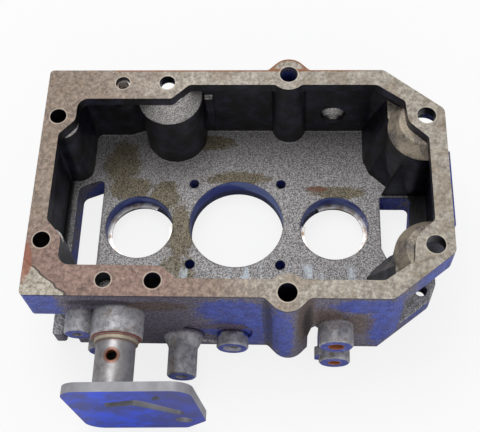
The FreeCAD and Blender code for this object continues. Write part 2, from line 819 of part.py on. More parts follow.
def plate():
    piece = body("slotted_plate")
    right = size("plate_wide") / 2
    left = -right
    top = size("plate_high") / 2
    corner = size("plate_round")
    face = body_sketch(piece, "plate_face", [
        (left, -top, corner), (right - size("plate_cut"), -top, 6),
        (right, -top + size("plate_cut"), 6), (right, top, corner), (left, top, corner),
    ])
    pad(piece, "plate_pad", face, size("plate_thick"))
    slot = body_sketch(piece, "bent_slot", [
        (left + 25, 8, 2), (left + 45, 12, 8), (left + 73, -11, 3), (left + 77, -3, 3),
        (left + 50, 24, 8), (left + 26, 17, 3),
    ])
    pocket = pad(piece, "slot_pocket", slot, size("plate_thick") + CLEAR, "PartDesign::Pocket")
    pocket.Reversed = True
    side_slot = body_sketch(piece, "side_slot", [
        (left + 59, 22, 1), (left + 67, 25, 1), (left + 64, 33, 1),
    ])
    side_pocket = pad(piece, "side_pocket", side_slot, size("plate_thick") + CLEAR,
                      "PartDesign::Pocket")
    side_pocket.Reversed = True
    bolt = piece.newObject("Sketcher::SketchObject", "plate_bolt_sketch")
    bolt.AttachmentSupport = [(origin_plane(piece, "XY_Plane"), "")]
    bolt.MapMode = "FlatFace"
    add_circle(bolt, right - 15, -top + 19, size("plate_bolt"))
    bolt_pocket = pad(piece, "bolt_pocket", bolt, size("plate_thick") + CLEAR,
                      "PartDesign::Pocket")
    bolt_pocket.Reversed = True
    piece.Placement, text = plate_placement()
    piece.setExpression("Placement", text)
    return piece


def tube():
    """Turned spigot; its section runs from the seat end towards the plate."""
    piece = body("tube_blank")
    start = outward("spigot_boss_stand") - size("tube_seat")
    end = outward("tube_stand") + 6
    section = [
        (size("tube_bore"), start), (size("tube_radius"), start),
        (size("tube_radius"), end), (size("tube_bore"), end),
    ]
    revolved(piece, "tube_turning", section)
    place(piece, size("spigot_along"), BASE, size("spigot_height"),
          FreeCAD.Rotation(FreeCAD.Vector(0, 0, 1), 180))
    drill = post("cross_hole_drill", size("spigot_along"), -outward("cross_hole_stand"),
                 size("spigot_height"), size("spigot_height") + 2 * size("tube_radius"),
                 size("cross_hole"))
    beyond = doc.addObject("Part::Box", "plate_side_trim")
    reach = 2 * size("plate_wide")
    for side in ("Length", "Width"):
        bind(beyond, side, reach)
    bind(beyond, "Height", size("plate_high"))
    placement, text = plate_placement()
    slide = FreeCAD.Placement(FreeCAD.Vector(-number(reach) / 2, -number(reach) / 2, 0), FLAT)
    beyond.Placement = placement.multiply(slide)
    offset = (f"create(<<placement>>; create(<<vector>>; {formula(-reach / 2)};"
              f" {formula(-reach / 2)}; 0); create(<<rotation>>; 0; 0; 0))")
    beyond.setExpression("Placement", f"{text} * {offset}")
    finished = cut("spigot_tube", piece, fuse("tube_trims", [drill, beyond]))
    finished.Label = "spigot_tube"
    return finished


def snap_ring(label, x, gap_middle):
    """Spring ring in the groove of a side bearing seat, open round the given direction."""
    piece = body(label)
    top = -size("fit_gap")
    low = top - size("ring_thick")
    outer = size("groove_radius") - size("fit_gap")
    section = body_sketch(piece, f"{label}_section", [
        (size("ring_inner"), low), (outer, low), (outer, top), (size("ring_inner"), top),
    ], "XZ_Plane")
    turned = piece.newObject("PartDesign::Revolution", f"{label}_turning")
    turned.Profile = section
    turned.ReferenceAxis = (section, ["V_Axis"])
    bind(turned, "Angle", 360 - size("ring_gap"))
    start = gap_middle + size("ring_gap") / 2
    place(piece, x, size("seat_across"), FLOOR - size("groove_under"),
          FreeCAD.Rotation(FreeCAD.Vector(0, 0, 1), number(start)))
    piece.setExpression("Placement.Rotation.Angle", start.text)
    return piece


def ring_dowel():
    piece = body("ring_dowel")
    outer = size("dowel_hole") - size("fit_gap")
    inner = outer - size("dowel_wall")
    low = RIM - size("dowel_deep")
    high = low + size("dowel_long")
    revolved(piece, "dowel_turning", [(inner, low), (outer, low), (outer, high), (inner, high)])
    place(piece, -size("dowel_along"), inward("dowel_inset"), BASE,
          FreeCAD.Rotation(FreeCAD.Vector(1, 0, 0), 90))
    return piece


NODES = [
    housing,
    tube(),
    plate(),
    snap_ring("snap_ring_left", -size("seat_offset"), size("ring_start") + size("ring_gap") / 2),
    snap_ring("snap_ring_right", size("seat_offset"),
              180 - size("ring_start") - size("ring_gap") / 2),
    ring_dowel(),
]
doc.recompute()

for item in doc.Objects:
    if "Invalid" in item.State or "Error" in item.State:
        raise RuntimeError(f"{item.Name} did not build: {item.State}")
for node in NODES:
    if node.Shape.isNull() or not node.Shape.isValid():
        raise RuntimeError(f"{node.Label} has no valid shape")
    print(node.Label, len(node.Shape.Solids), "solid", round(node.Shape.Volume / 1000, 2), "cm3",
          node.Shape.BoundBox)

os.makedirs("parts", exist_ok=True)
for node in NODES:
    node.Shape.exportStep(f"parts/{node.Label}.step")
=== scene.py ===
# %% [markdown]
# # Gearbox housing
# An open cast-iron gear case lies on its base with the machined rim up. The CAD parts
# come in as a fixed frame. This script gives them their finishes and sets the floor, the
# lamps and the camera. It adds no shapes to the object.
# Lengths in the finishes are in millimetres. Those of the floor, the lamps and the camera
# are in metres.

# %% Load the frame
import json
import math

import bpy
from mathutils import Matrix, Vector


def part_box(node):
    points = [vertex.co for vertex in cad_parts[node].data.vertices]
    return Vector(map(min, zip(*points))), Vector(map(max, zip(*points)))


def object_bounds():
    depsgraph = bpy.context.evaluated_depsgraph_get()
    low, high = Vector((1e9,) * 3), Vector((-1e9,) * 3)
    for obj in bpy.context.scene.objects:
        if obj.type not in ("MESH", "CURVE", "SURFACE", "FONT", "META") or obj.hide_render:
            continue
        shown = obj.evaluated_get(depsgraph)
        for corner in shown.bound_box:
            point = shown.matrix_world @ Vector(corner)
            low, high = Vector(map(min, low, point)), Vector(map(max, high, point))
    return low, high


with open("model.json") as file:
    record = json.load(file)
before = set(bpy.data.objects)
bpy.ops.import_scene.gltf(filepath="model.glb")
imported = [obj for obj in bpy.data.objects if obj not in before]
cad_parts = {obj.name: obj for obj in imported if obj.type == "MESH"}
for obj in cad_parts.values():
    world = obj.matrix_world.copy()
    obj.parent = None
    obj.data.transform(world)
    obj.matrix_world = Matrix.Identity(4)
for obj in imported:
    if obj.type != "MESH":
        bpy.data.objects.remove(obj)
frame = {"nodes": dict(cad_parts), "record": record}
cad_box = [list(corner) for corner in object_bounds()]
record = frame["record"]
MM = 0.001
print("frame parts:", sorted(frame["nodes"]))

# %% [markdown]
# ## Places on the casting
# The record of the part lists its bolt holes and bores with their places and radii. The
# painted highlights on the hole edges and the colours of the seats are set out from it, so a
# change in the CAD moves them too. The rim face is the highest level of the housing.

# %% Holes and levels from the record
mounts = {mount["name"]: mount for mount in record["mounts"]}
case_low, case_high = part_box("housing")
RIM = case_high.z / MM
LEFT_END, RIGHT_END = case_low.x / MM, case_high.x / MM
FLOOR = mounts["centre_seat"]["dims"]["length_mm"]


def spot(name):
    """The mount's place in millimetres."""
    return Vector(mounts[name]["pos_m"]) / MM


def bore_radius(name):
    """The bore mount's radius in millimetres."""
    return mounts[name]["dims"]["r_mm"]


def pattern_holes(name):
    """Centres of the holes of a bolt pattern, in millimetres."""
    dims = mounts[name]["dims"]
    half_x = dims.get("spacing_x_mm", 0) / 2
    half_y = dims.get("spacing_y_mm", 0) / 2
    centres = {
        (sign_x * half_x, sign_y * half_y) for sign_x in (-1, 1) for sign_y in (-1, 1)
    }
    return [spot(name) + Vector((x, y, 0)) for x, y in sorted(centres)]


RIM_PATTERNS = ("rim_left_bolts", "rim_studs", "rim_ears", "rim_right_bolts")
rim_holes = [
    (centre, mounts[name]["dims"]["hole_r_mm"])
    for name in RIM_PATTERNS
    for centre in pattern_holes(name)
]
dowel_radius = bore_radius("front_dowel_socket")
rim_holes.append((spot("front_dowel_socket"), dowel_radius))
dowel_low, dowel_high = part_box("ring_dowel")
rim_holes.append(((dowel_low + dowel_high) / 2 / MM, dowel_radius))
print("rim holes:", len(rim_holes), "rim level:", round(RIM, 1))

# %% [markdown]
# ## Working with nodes
# A finish is a small graph. These helpers place one node each and wire its inputs, so that
# a finish further down reads as a short recipe. A number goes straight into a socket, and
# the output of another node is linked to it.


# %% Node helpers
def colour(red, green, blue):
    """A colour given as it looks on a screen, 0 to 255, as the linear values of a shader."""
    values = [part / 255 for part in (red, green, blue)]
    return [
        value / 12.92 if value <= 0.04045 else ((value + 0.055) / 1.055) ** 2.4
        for value in values
    ] + [1]


def wire(tree, socket, value):
    """Sets the input socket to a number, a vector or another node's output."""
    if isinstance(value, bpy.types.NodeSocket):
        tree.links.new(value, socket)
    elif value is not None:
        socket.default_value = value


def maths(tree, kind, first, second=None, third=None):
    node = tree.nodes.new("ShaderNodeMath")
    node.operation = kind
    for socket, value in zip(node.inputs, (first, second, third)):
        wire(tree, socket, value)
    return node.outputs[0]


def vector_maths(tree, kind, first, second=None, scale=None):
    node = tree.nodes.new("ShaderNodeVectorMath")
    node.operation = kind
    wire(tree, node.inputs[0], first)
    wire(tree, node.inputs[1], second)
    if scale is not None:
        wire(tree, node.inputs["Scale"], scale)
    return node.outputs["Value" if kind == "LENGTH" else "Vector"]


def ramp(tree, value, low, high):
    """0 below low, 1 above high and a smooth step between. low may be above high."""
    node = tree.nodes.new("ShaderNodeMapRange")
    node.interpolation_type = "SMOOTHSTEP"
    falling = low > high
    wire(tree, node.inputs["Value"], value)
    node.inputs["From Min"].default_value = min(low, high)
    node.inputs["From Max"].default_value = max(low, high)
    node.inputs["To Min"].default_value = 1 if falling else 0
    node.inputs["To Max"].default_value = 0 if falling else 1
    return node.outputs[0]


def noise(tree, place, size, detail=2, rough=0.5, seed=0):
    """Noise from 0 to 1 whose spots are about that many millimetres wide."""
    node = tree.nodes.new("ShaderNodeTexNoise")
    node.noise_dimensions = "4D"
    wire(tree, node.inputs["Vector"], place)
    node.inputs["W"].default_value = seed
    node.inputs["Scale"].default_value = 1 / size
    node.inputs["Detail"].default_value = detail
    node.inputs["Roughness"].default_value = rough
    return node.outputs["Fac"]


def mix(tree, factor, first, second):
    """First colour where the factor is 0, second where it is 1."""
    node = tree.nodes.new("ShaderNodeMix")
    node.data_type = "RGBA"
    wire(tree, node.inputs[0], factor)
    wire(tree, node.inputs[6], first)
    wire(tree, node.inputs[7], second)
    return node.outputs[2]


def blend(tree, factor, first, second):
    """First number where the factor is 0, second where it is 1."""
    node = tree.nodes.new("ShaderNodeMix")
    wire(tree, node.inputs[0], factor)
    wire(tree, node.inputs[2], first)
    wire(tree, node.inputs[3], second)
    return node.outputs[0]


def split(tree, vector):
    node = tree.nodes.new("ShaderNodeSeparateXYZ")
    wire(tree, node.inputs[0], vector)
    return node.outputs


def product(tree, *factors):
    """All the masks at once: where each of them is 1."""
    result = factors[0]
    for factor in factors[1:]:
        result = maths(tree, "MULTIPLY", result, factor)
    return result


def any_of(tree, masks):
    """Where at least one of the masks is 1."""
    result, *others = masks
    for mask in others:
        result = maths(tree, "MAXIMUM", result, mask)
    return result


def tint(tree, base, over, mask, strength):
    """The base with the other colour over it, at that strength where the mask is 1."""
    return mix(tree, maths(tree, "MULTIPLY", mask, strength), base, over)


print("node helpers ready")

# %% [markdown]
# ## Shared effects
# These effects are used again and again: the sandy grain of a casting, stains and patches of
# painted reflection with a ragged edge, a smear at one place, and a ring round a hole. Each is
# built once as a node group with named inputs, so every material can place it with its own sizes.

# %% Group maker
def new_group(name, inputs, outputs):
    """An empty shader group. inputs and outputs map a socket's name to its kind and value."""
    group = bpy.data.node_groups.new(name, "ShaderNodeTree")
    for socket, (kind, value) in inputs.items():
        made = group.interface.new_socket(socket, in_out="INPUT", socket_type=kind)
        if value is not None:
            made.default_value = value
    for socket, kind in outputs.items():
        group.interface.new_socket(socket, in_out="OUTPUT", socket_type=kind)
    return group, group.nodes.new("NodeGroupInput").outputs, group.nodes.new("NodeGroupOutput").inputs


def place_group(tree, group, **values):
    """The group's outputs, with its inputs set. A name's underscores stand for spaces."""
    node = tree.nodes.new("ShaderNodeGroup")
    node.node_tree = group
    for name, value in values.items():
        wire(tree, node.inputs[name.replace("_", " ")], value)
    return node.outputs


FLOAT, VECTOR = "NodeSocketFloat", "NodeSocketVector"
print("group maker ready")

# %% [markdown]
# ### Cast grain
# Sand casting leaves a skin of grains and small pits. Two sizes of noise make the grains,
# and a cell pattern adds the pits. The same numbers drive the bump and a light and dark
# speckle, because grains catch the light on their tops.

# %% Cast grain group
grain, grain_in, grain_out = new_group(
    "cast grain",
    {"Place": (VECTOR, None), "Grain": (FLOAT, 1.0)},
    {"Speckle": FLOAT, "Height": FLOAT},
)
finer = vector_maths(grain, "SCALE", grain_in["Place"], scale=maths(grain, "DIVIDE", 1, grain_in["Grain"]))
sand = noise(grain, finer, 0.9, detail=3, rough=0.65)
lumps = noise(grain, finer, 3.2, detail=2, seed=4)
pits = grain.nodes.new("ShaderNodeTexVoronoi")
pits.feature = "SMOOTH_F1"
pits.inputs["Scale"].default_value = 1 / 1.5
wire(grain, pits.inputs["Vector"], finer)
wire(grain, grain_out["Speckle"], ramp(grain, sand, 0.38, 0.64))
height = blend(grain, 0.45, sand, lumps)
wire(grain, grain_out["Height"], blend(grain, 0.3, height, pits.outputs["Distance"]))
print("cast grain:", len(grain.nodes), "nodes")

# %% [markdown]
# ### Stains, patches and smears
# A patch is a part of a large noise that lies above a threshold, and it marks a stain or a
# painted blue reflection. Its edge is made ragged by a finer noise. A smear is a soft ellipse
# round one place, frayed in the same way, and it marks one patch of oil or rust, of painted
# shade or of painted reflection.

# %% Patch and smear groups
stain, stain_or_reflection_in, stain_or_reflection_out = new_group(
    "stain",
    {"Place": (VECTOR, None), "Size": (FLOAT, 30.0), "Cover": (FLOAT, 0.5), "Fray": (FLOAT, 0.3)},
    {"Mask": FLOAT},
)
wide = vector_maths(stain, "SCALE", stain_or_reflection_in["Place"], scale=maths(stain, "DIVIDE", 1, stain_or_reflection_in["Size"]))
cloud = noise(stain, wide, 1, detail=3, rough=0.55, seed=2)
fray = noise(stain, stain_or_reflection_in["Place"], 2.2, detail=3, rough=0.7, seed=6)
torn = maths(stain, "MULTIPLY_ADD", maths(stain, "SUBTRACT", fray, 0.5), stain_or_reflection_in["Fray"], cloud)
level = maths(stain, "ADD", torn, maths(stain, "MULTIPLY_ADD", stain_or_reflection_in["Cover"], 0.5, -0.25))
wire(stain, stain_or_reflection_out["Mask"], ramp(stain, level, 0.46, 0.56))

smear, smear_in, smear_out = new_group(
    "smear",
    {
        "Place": (VECTOR, None),
        "Centre": (VECTOR, None),
        "Reach": (VECTOR, (10, 10, 10)),
        "Fray": (FLOAT, 0.5),
    },
    {"Mask": FLOAT},
)
offset = vector_maths(smear, "SUBTRACT", smear_in["Place"], smear_in["Centre"])
distance = vector_maths(smear, "LENGTH", vector_maths(smear, "DIVIDE", offset, smear_in["Reach"]))
ragged = noise(smear, smear_in["Place"], 5, detail=4, rough=0.7, seed=9)
torn_by = maths(smear, "MULTIPLY", smear_in["Fray"], 2)
distance = maths(smear, "MULTIPLY_ADD", maths(smear, "SUBTRACT", ragged, 0.5), torn_by, distance)
wire(smear, smear_out["Mask"], ramp(smear, distance, 1.1, 0.75))
print("stain and smear groups ready")

# %% [markdown]
# ### Ring round a hole
# A ring marks the chamfered edge round a hole, and on the rim holes it carries a painted
# highlight. The distance from the hole's axis gives a thin ring, and the axis can be upright
# or run along Y, so the across input picks which lengths count.

# %% Ring group
ring, ring_in, ring_out = new_group(
    "ring",
    {
        "Place": (VECTOR, None),
        "Centre": (VECTOR, None),
        "Across": (VECTOR, (1, 1, 0)),
        "Radius": (FLOAT, 6.0),
        "Width": (FLOAT, 0.8),
    },
    {"Edge": FLOAT, "Inside": FLOAT},
)
offset = vector_maths(ring, "SUBTRACT", ring_in["Place"], ring_in["Centre"])
reach = vector_maths(ring, "LENGTH", vector_maths(ring, "MULTIPLY", offset, ring_in["Across"]))
beyond = maths(ring, "SUBTRACT", reach, ring_in["Radius"])
middle = maths(ring, "SUBTRACT", maths(ring, "DIVIDE", beyond, ring_in["Width"]), 0.5)
wire(ring, ring_out["Edge"], ramp(ring, maths(ring, "ABSOLUTE", middle), 0.75, 0.35))
wire(ring, ring_out["Inside"], ramp(ring, beyond, 0.3, 0.05))
print("ring group ready")


# %% [markdown]
# ## Starting a finish
# Every finish begins in the same way: the place on the piece in millimetres, the direction
# in which the surface faces, and a Principled shader. The piece's own coordinates are used,
# so a pattern stays where it is when the object moves.

# %% Finish starter
def new_finish(name):
    """(material, node tree, place in millimetres, facing direction, shader inputs)."""
    material = bpy.data.materials.new(name)
    material.use_nodes = True
    tree = material.node_tree
    shader = tree.nodes["Principled BSDF"]
    spot_on_piece = tree.nodes.new("ShaderNodeTexCoord").outputs["Object"]
    place = vector_maths(tree, "SCALE", spot_on_piece, scale=1 / MM)
    facing = tree.nodes.new("ShaderNodeNewGeometry").outputs["Normal"]
    return material, tree, place, facing, shader.inputs


def bump(tree, height, deep, strength=1.0, normal=None):
    """A bump whose full height is that many millimetres, on the surface or on a given normal."""
    node = tree.nodes.new("ShaderNodeBump")
    node.inputs["Strength"].default_value = strength
    node.inputs["Distance"].default_value = deep * MM
    wire(tree, node.inputs["Height"], height)
    wire(tree, node.inputs["Normal"], normal)
    return node.outputs[0]


print("finish starter ready")

# %% [markdown]
# ## The casting
# One casting shows many surfaces: a milled rim, a sandy floor, oily inner walls in painted
# shade, sloping shoulders with a painted highlight, bored seats and outer walls with a painted
# blue reflection. They all belong to one piece, so one material tells them apart by height,
# by facing and by place, and each zone gets its own colours.

# %% Casting: zones
CORNER_START, CORNER_END = 109.5, 55.4
casting, tree, place, facing, shader = new_finish("cast iron")
x, y, z = split(tree, place)
_, facing_y, facing_z = split(tree, facing)
abs_y = maths(tree, "ABSOLUTE", y)
grained = place_group(tree, grain, Place=place, Grain=1.0)
speckle, sand_height = grained["Speckle"], grained["Height"]

face_up = ramp(tree, facing_z, 0.6, 0.85)
rim_face = product(tree, ramp(tree, z, RIM - 0.6, RIM - 0.2), face_up)
SKIN = 3.5
RIM_EAR_Y = mounts["rim_ears"]["dims"]["spacing_y_mm"] / 2
left_side = ramp(tree, x, LEFT_END + SKIN, LEFT_END + SKIN + 0.5)
right_side = ramp(tree, x, RIGHT_END - SKIN, RIGHT_END - SKIN - 0.5)
HALF_WIDTH = 88.8
long_sides = ramp(tree, abs_y, HALF_WIDTH - SKIN, HALF_WIDTH - SKIN - 0.5)
corner_fall = (HALF_WIDTH - CORNER_END) / (RIGHT_END - CORNER_START)
past_start = maths(tree, "SUBTRACT", x, CORNER_START)
past_side = maths(tree, "SUBTRACT", abs_y, HALF_WIDTH)
past_corner = maths(tree, "MULTIPLY_ADD", past_start, corner_fall, past_side)
corner_side = ramp(tree, past_corner, -SKIN * 1.3, -SKIN * 1.3 - 0.5)
above_floor = ramp(tree, z, FLOOR - 1.0, FLOOR - 0.6)
inside = product(tree, left_side, right_side, long_sides, corner_side, above_floor)
print("casting zones ready, rim level", round(RIM, 1))

# %% [markdown]
# ### Rim face
# The milled face is pale grey to the right and stained brown at the front left, where water
# stood on it. Old gasket has left a dark line across the front left corner, with a paler
# rough patch beyond it. Rust runs along the back edge and round the back ear.

# %% Casting: rim colours
rim_cloud = place_group(tree, stain, Place=place, Size=17, Cover=0.45, Fray=0.35)["Mask"]
rim_fine = noise(tree, place, 2.6, detail=5, rough=0.75, seed=11)
rim_grain = ramp(tree, rim_fine, 0.3, 0.72)
rim_colour = mix(tree, rim_grain, colour(112, 106, 98), colour(196, 187, 174))
rim_colour = tint(tree, rim_colour, colour(128, 110, 88), rim_cloud, 0.4)
toward_left = ramp(tree, maths(tree, "MULTIPLY_ADD", y, 0.55, x), 25, -75)
brown = mix(tree, rim_grain, colour(92, 76, 66), colour(152, 132, 116))
rim_colour = tint(tree, rim_colour, brown, toward_left, 0.8)
front_left = product(tree, ramp(tree, y, -20, -60), ramp(tree, x, 20, -60))
plum = mix(tree, rim_grain, colour(92, 68, 62), colour(158, 128, 116))
rim_colour = tint(tree, rim_colour, plum, front_left, 0.8)
flecks = noise(tree, place, 1.6, detail=3, rough=0.6, seed=17)
flecks = ramp(tree, flecks, 0.62, 0.7)
rim_colour = tint(tree, rim_colour, colour(206, 192, 172), flecks, 0.3)
oil_blots = place_group(tree, stain, Place=place, Size=9, Cover=0.12, Fray=0.4)["Mask"]
rim_colour = tint(tree, rim_colour, colour(62, 56, 46), oil_blots, 0.55)

line_wave = noise(tree, place, 9, detail=3, seed=13)
GASKET_SLOPE, GASKET_REACH, GASKET_WAVE = 0.83, 177.5, 9
across_corner = maths(tree, "ADD", maths(tree, "MULTIPLY_ADD", x, GASKET_SLOPE, y), GASKET_REACH)
wave = maths(tree, "SUBTRACT", line_wave, 0.5)
across_corner = maths(tree, "MULTIPLY_ADD", wave, GASKET_WAVE, across_corner)
corner_patch = ramp(tree, across_corner, 0.5, -1)
patch_colour = mix(tree, ramp(tree, rim_fine, 0.35, 0.6), colour(116, 104, 90), colour(184, 178, 164))
rim_colour = mix(tree, corner_patch, rim_colour, patch_colour)
gasket_line = ramp(tree, maths(tree, "ABSOLUTE", across_corner), 1.2, 0.4)
rim_colour = tint(tree, rim_colour, colour(50, 38, 34), gasket_line, 0.85)
rust_spot = place_group(
    tree, smear, Place=place, Centre=(-136, -66, RIM), Reach=(4.5, 14, 9), Fray=0.9
)["Mask"]
rim_colour = tint(tree, rim_colour, colour(138, 78, 56), rust_spot, 0.75)

EAR_REACH = case_high.y / MM - RIM_EAR_Y
ear_ring = place_group(
    tree, ring, Place=place, Centre=(spot("rim_ears").x, RIM_EAR_Y, RIM), Radius=EAR_REACH - 1.2, Width=3
)["Edge"]
straight_edge = ramp(tree, maths(tree, "ABSOLUTE", maths(tree, "SUBTRACT", y, HALF_WIDTH)), 1.6, 0.8)
back_edge = maths(tree, "MAXIMUM", product(tree, ear_ring, ramp(tree, y, 88, 90)), straight_edge)
back_rust = product(tree, back_edge, ramp(tree, x, -92, -86), ramp(tree, x, 112, 70), ramp(tree, y, 60, 70))
rim_colour = tint(tree, rim_colour, colour(132, 78, 36), back_rust, 0.85)
print("rim colours ready")

# %% Casting: painted highlights on the edges of the rim holes
# Painted highlight: pale rings on the chamfered edges of the rim holes.
rim_hole_highlights = any_of(
    tree,
    [
        place_group(tree, ring, Place=place, Centre=centre, Radius=radius)["Edge"]
        for centre, radius in rim_holes
    ],
)
rim_colour = tint(tree, rim_colour, colour(208, 198, 182), rim_hole_highlights, 0.4)
print("hole edges:", len(rim_holes))

# %% [markdown]
# ### Floor
# The floor is bare sandy iron with bright grains. Old oil has dried on it in olive-brown
# patches beside the seats, a rust mark lies behind the right seat, and pale dusty streaks
# run in front of the seats.

# %% Casting: floor colours
floor_colour = mix(tree, speckle, colour(96, 93, 94), colour(186, 183, 184))
OIL = (
    ((-92, 52), (15, 20)),
    ((-84, 30), (18, 11)),
    ((-56, 24), (13, 13)),
    ((-43, -8), (11, 26)),
    ((-44, -46), (15, 22)),
    ((0, 39), (27, 6)),
    ((-24, 71), (22, 7)),
    ((78, 27), (22, 6)),
)
oily = any_of(
    tree,
    [
        place_group(tree, smear, Place=place, Centre=(*centre, FLOOR), Reach=(*reach, 12), Fray=0.7)["Mask"]
        for centre, reach in OIL
    ],
)
oil_colour = mix(tree, speckle, colour(58, 51, 34), colour(132, 119, 88))
floor_colour = tint(tree, floor_colour, oil_colour, oily, 0.85)
rust_mark = place_group(
    tree, smear, Place=place, Centre=(62, 30, FLOOR), Reach=(9.5, 2.6, 6), Fray=0.35
)["Mask"]
floor_colour = tint(tree, floor_colour, colour(104, 68, 46), rust_mark, 0.85)
streaks = noise(tree, vector_maths(tree, "MULTIPLY", place, (0.35, 0.08, 1)), 3, detail=3, seed=21)
dusty = product(tree, ramp(tree, y, -31, -38), ramp(tree, streaks, 0.52, 0.66))
floor_colour = tint(tree, floor_colour, colour(206, 218, 230), dusty, 0.6)
print("floor patches:", len(OIL))

# %% [markdown]
# ### Walls, shoulders and bores
# The inner walls are near black: old oil with painted shade over it, and a faint navy painted
# reflection. The tops of the bolt bodies slope up to the rim and are painted pale as a painted
# highlight. Outside, a painted blue reflection lies in patches on violet-grey iron, and it is
# strongest on the machined seats and boss ends.

# %% Casting: inner walls
wall_cloud = noise(tree, place, 11, detail=4, rough=0.6, seed=31)
# Painted shade: the inner walls are near black, part old oil and part painted shade, with a navy painted
# reflection.
wall_oil_and_shade = mix(tree, ramp(tree, wall_cloud, 0.4, 0.72), colour(9, 8, 11), colour(44, 45, 66))
# Painted shade: the walls are painted darker still near the floor.
low_wall_shade = ramp(tree, z, FLOOR + 14, FLOOR + 1)
wall_oil_and_shade = tint(tree, wall_oil_and_shade, colour(7, 6, 7), low_wall_shade, 0.7)
# Painted highlight: the upward sloping shoulders are painted pale, with real brown on the right.
shoulder = product(tree, ramp(tree, facing_z, 0.22, 0.6), ramp(tree, z, FLOOR + 20, FLOOR + 26))
shoulder_highlight = mix(tree, speckle, colour(112, 110, 110), colour(226, 222, 218))
brown_side = ramp(tree, x, 96, 104)
shoulder_brown = mix(tree, ramp(tree, wall_cloud, 0.35, 0.6), colour(64, 50, 38), colour(178, 160, 132))
shoulder_highlight = tint(tree, shoulder_highlight, shoulder_brown, brown_side, 0.7)
WINDOW_RIGHT, SLOT_LEFT = 130.5, -127.5
# Painted shade: the floor beside the window and the slot takes the dark wall colour.
shade_beside_openings = maths(
    tree, "MAXIMUM", ramp(tree, x, WINDOW_RIGHT, WINDOW_RIGHT + 2), ramp(tree, x, SLOT_LEFT, SLOT_LEFT - 3)
)
floor_colour = mix(tree, shade_beside_openings, floor_colour, wall_oil_and_shade)
inner_colour = mix(tree, face_up, wall_oil_and_shade, floor_colour)
inner_colour = mix(tree, shoulder, inner_colour, shoulder_highlight)
print("inner wall colours ready")

# %% Casting: outer walls
FRONT = -HALF_WIDTH
# Painted reflection: places of the blue patches on the front wall.
BLUE_REFLECTION_PATCHES = (
    ((-132, 80), (20, 40)),
    ((2, 72), (26, 24)),
    ((8, 40), (24, 40)),
    ((36, 50), (10, 60)),
    ((96, 84), (26, 14)),
    ((108, 52), (14, 48)),
    ((-10, 30), (14, 14)),
)
BROWN_PATCHES = (
    ((52, 64), (7, 50)),
    ((64, 62), (16, 18)),
    ((88, 48), (13, 22)),
    ((-50, 80), (26, 9)),
    ((-4, 34), (22, 8)),
)
# Painted shade: narrow dark strips on the front wall and a dark band high on it.
SHADE_PATCHES = (
    ((-88, 86), (26, 6)),
    ((26, 50), (4, 60)),
    ((54, 58), (4, 30)),
)


def patches(places, fray):
    """Where any of the smears on the front wall lies. Each is a centre and a reach in X and Z."""
    masks = []
    for (along, high), (reach_x, reach_z) in places:
        centre, reach = (along, FRONT, high), (reach_x, 30, reach_z)
        masks.append(place_group(tree, smear, Place=place, Centre=centre, Reach=reach, Fray=fray)["Mask"])
    return any_of(tree, masks)


# Painted reflection: the blue patches stand for blue surroundings reflected in the iron.
blue_reflection = place_group(tree, stain, Place=place, Size=30, Cover=0.6, Fray=0.5)["Mask"]
on_front = ramp(tree, y, -70, -80)
blue_reflection = blend(tree, on_front, blue_reflection, patches(BLUE_REFLECTION_PATCHES, 0.9))
reflection_tone = ramp(tree, noise(tree, place, 7, detail=4, rough=0.65, seed=35), 0.3, 0.7)
reflection_blue = mix(tree, reflection_tone, colour(20, 40, 124), colour(52, 84, 196))
reflection_blue = tint(tree, reflection_blue, colour(128, 136, 206), speckle, 0.3)
bare_iron = mix(tree, speckle, colour(68, 62, 78), colour(142, 136, 152))
outer_colour = tint(tree, bare_iron, reflection_blue, blue_reflection, 0.88)
outer_brown = mix(tree, speckle, colour(52, 40, 34), colour(134, 112, 94))
brown_cloud = patches(BROWN_PATCHES, 0.9)
outer_colour = tint(tree, outer_colour, outer_brown, brown_cloud, 0.75)
shade_cloud = patches(SHADE_PATCHES, 0.6)
outer_colour = tint(tree, outer_colour, colour(30, 27, 32), shade_cloud, 0.6)
# Painted shade under the rim's overhang.
shade_under_rim = product(tree, ramp(tree, z, RIM - 3.5, RIM - 1), ramp(tree, facing_z, 0.4, 0.2))
outer_colour = tint(tree, outer_colour, colour(40, 36, 40), shade_under_rim, 0.5)
FOOT_TOP = 30
foot_face = product(tree, ramp(tree, facing_z, 0.6, 0.85), ramp(tree, z, FOOT_TOP, FOOT_TOP - 2))
foot_grey = mix(tree, speckle, colour(112, 110, 114), colour(222, 222, 226))
outer_colour = mix(tree, foot_face, outer_colour, foot_grey)
print("outer wall patches:", len(BLUE_REFLECTION_PATCHES) + len(BROWN_PATCHES) + len(SHADE_PATCHES))

# %% Casting: bosses
EAR_X = spot("rim_ears").x
from_ear = maths(tree, "ABSOLUTE", maths(tree, "SUBTRACT", x, EAR_X))
beside_ear = ramp(tree, from_ear, EAR_REACH + 1, EAR_REACH + 4)
past_wall = ramp(tree, y, FRONT - 0.3, FRONT - 2.5)
facing_along = maths(tree, "ABSOLUTE", facing_y)
boss_side = product(tree, past_wall, beside_ear, ramp(tree, facing_along, 0.93, 0.8))
boss_tone = noise(tree, place, 4, detail=4, rough=0.7, seed=37)
boss_grey = mix(tree, ramp(tree, boss_tone, 0.3, 0.7), colour(116, 114, 116), colour(188, 187, 192))
boss_grey = tint(tree, boss_grey, colour(214, 214, 220), speckle, 0.25)
boss_stain = place_group(tree, stain, Place=place, Size=10, Cover=0.3, Fray=0.4)["Mask"]
boss_grey = tint(tree, boss_grey, colour(124, 104, 78), boss_stain, 0.5)
outer_colour = mix(tree, boss_side, outer_colour, boss_grey)
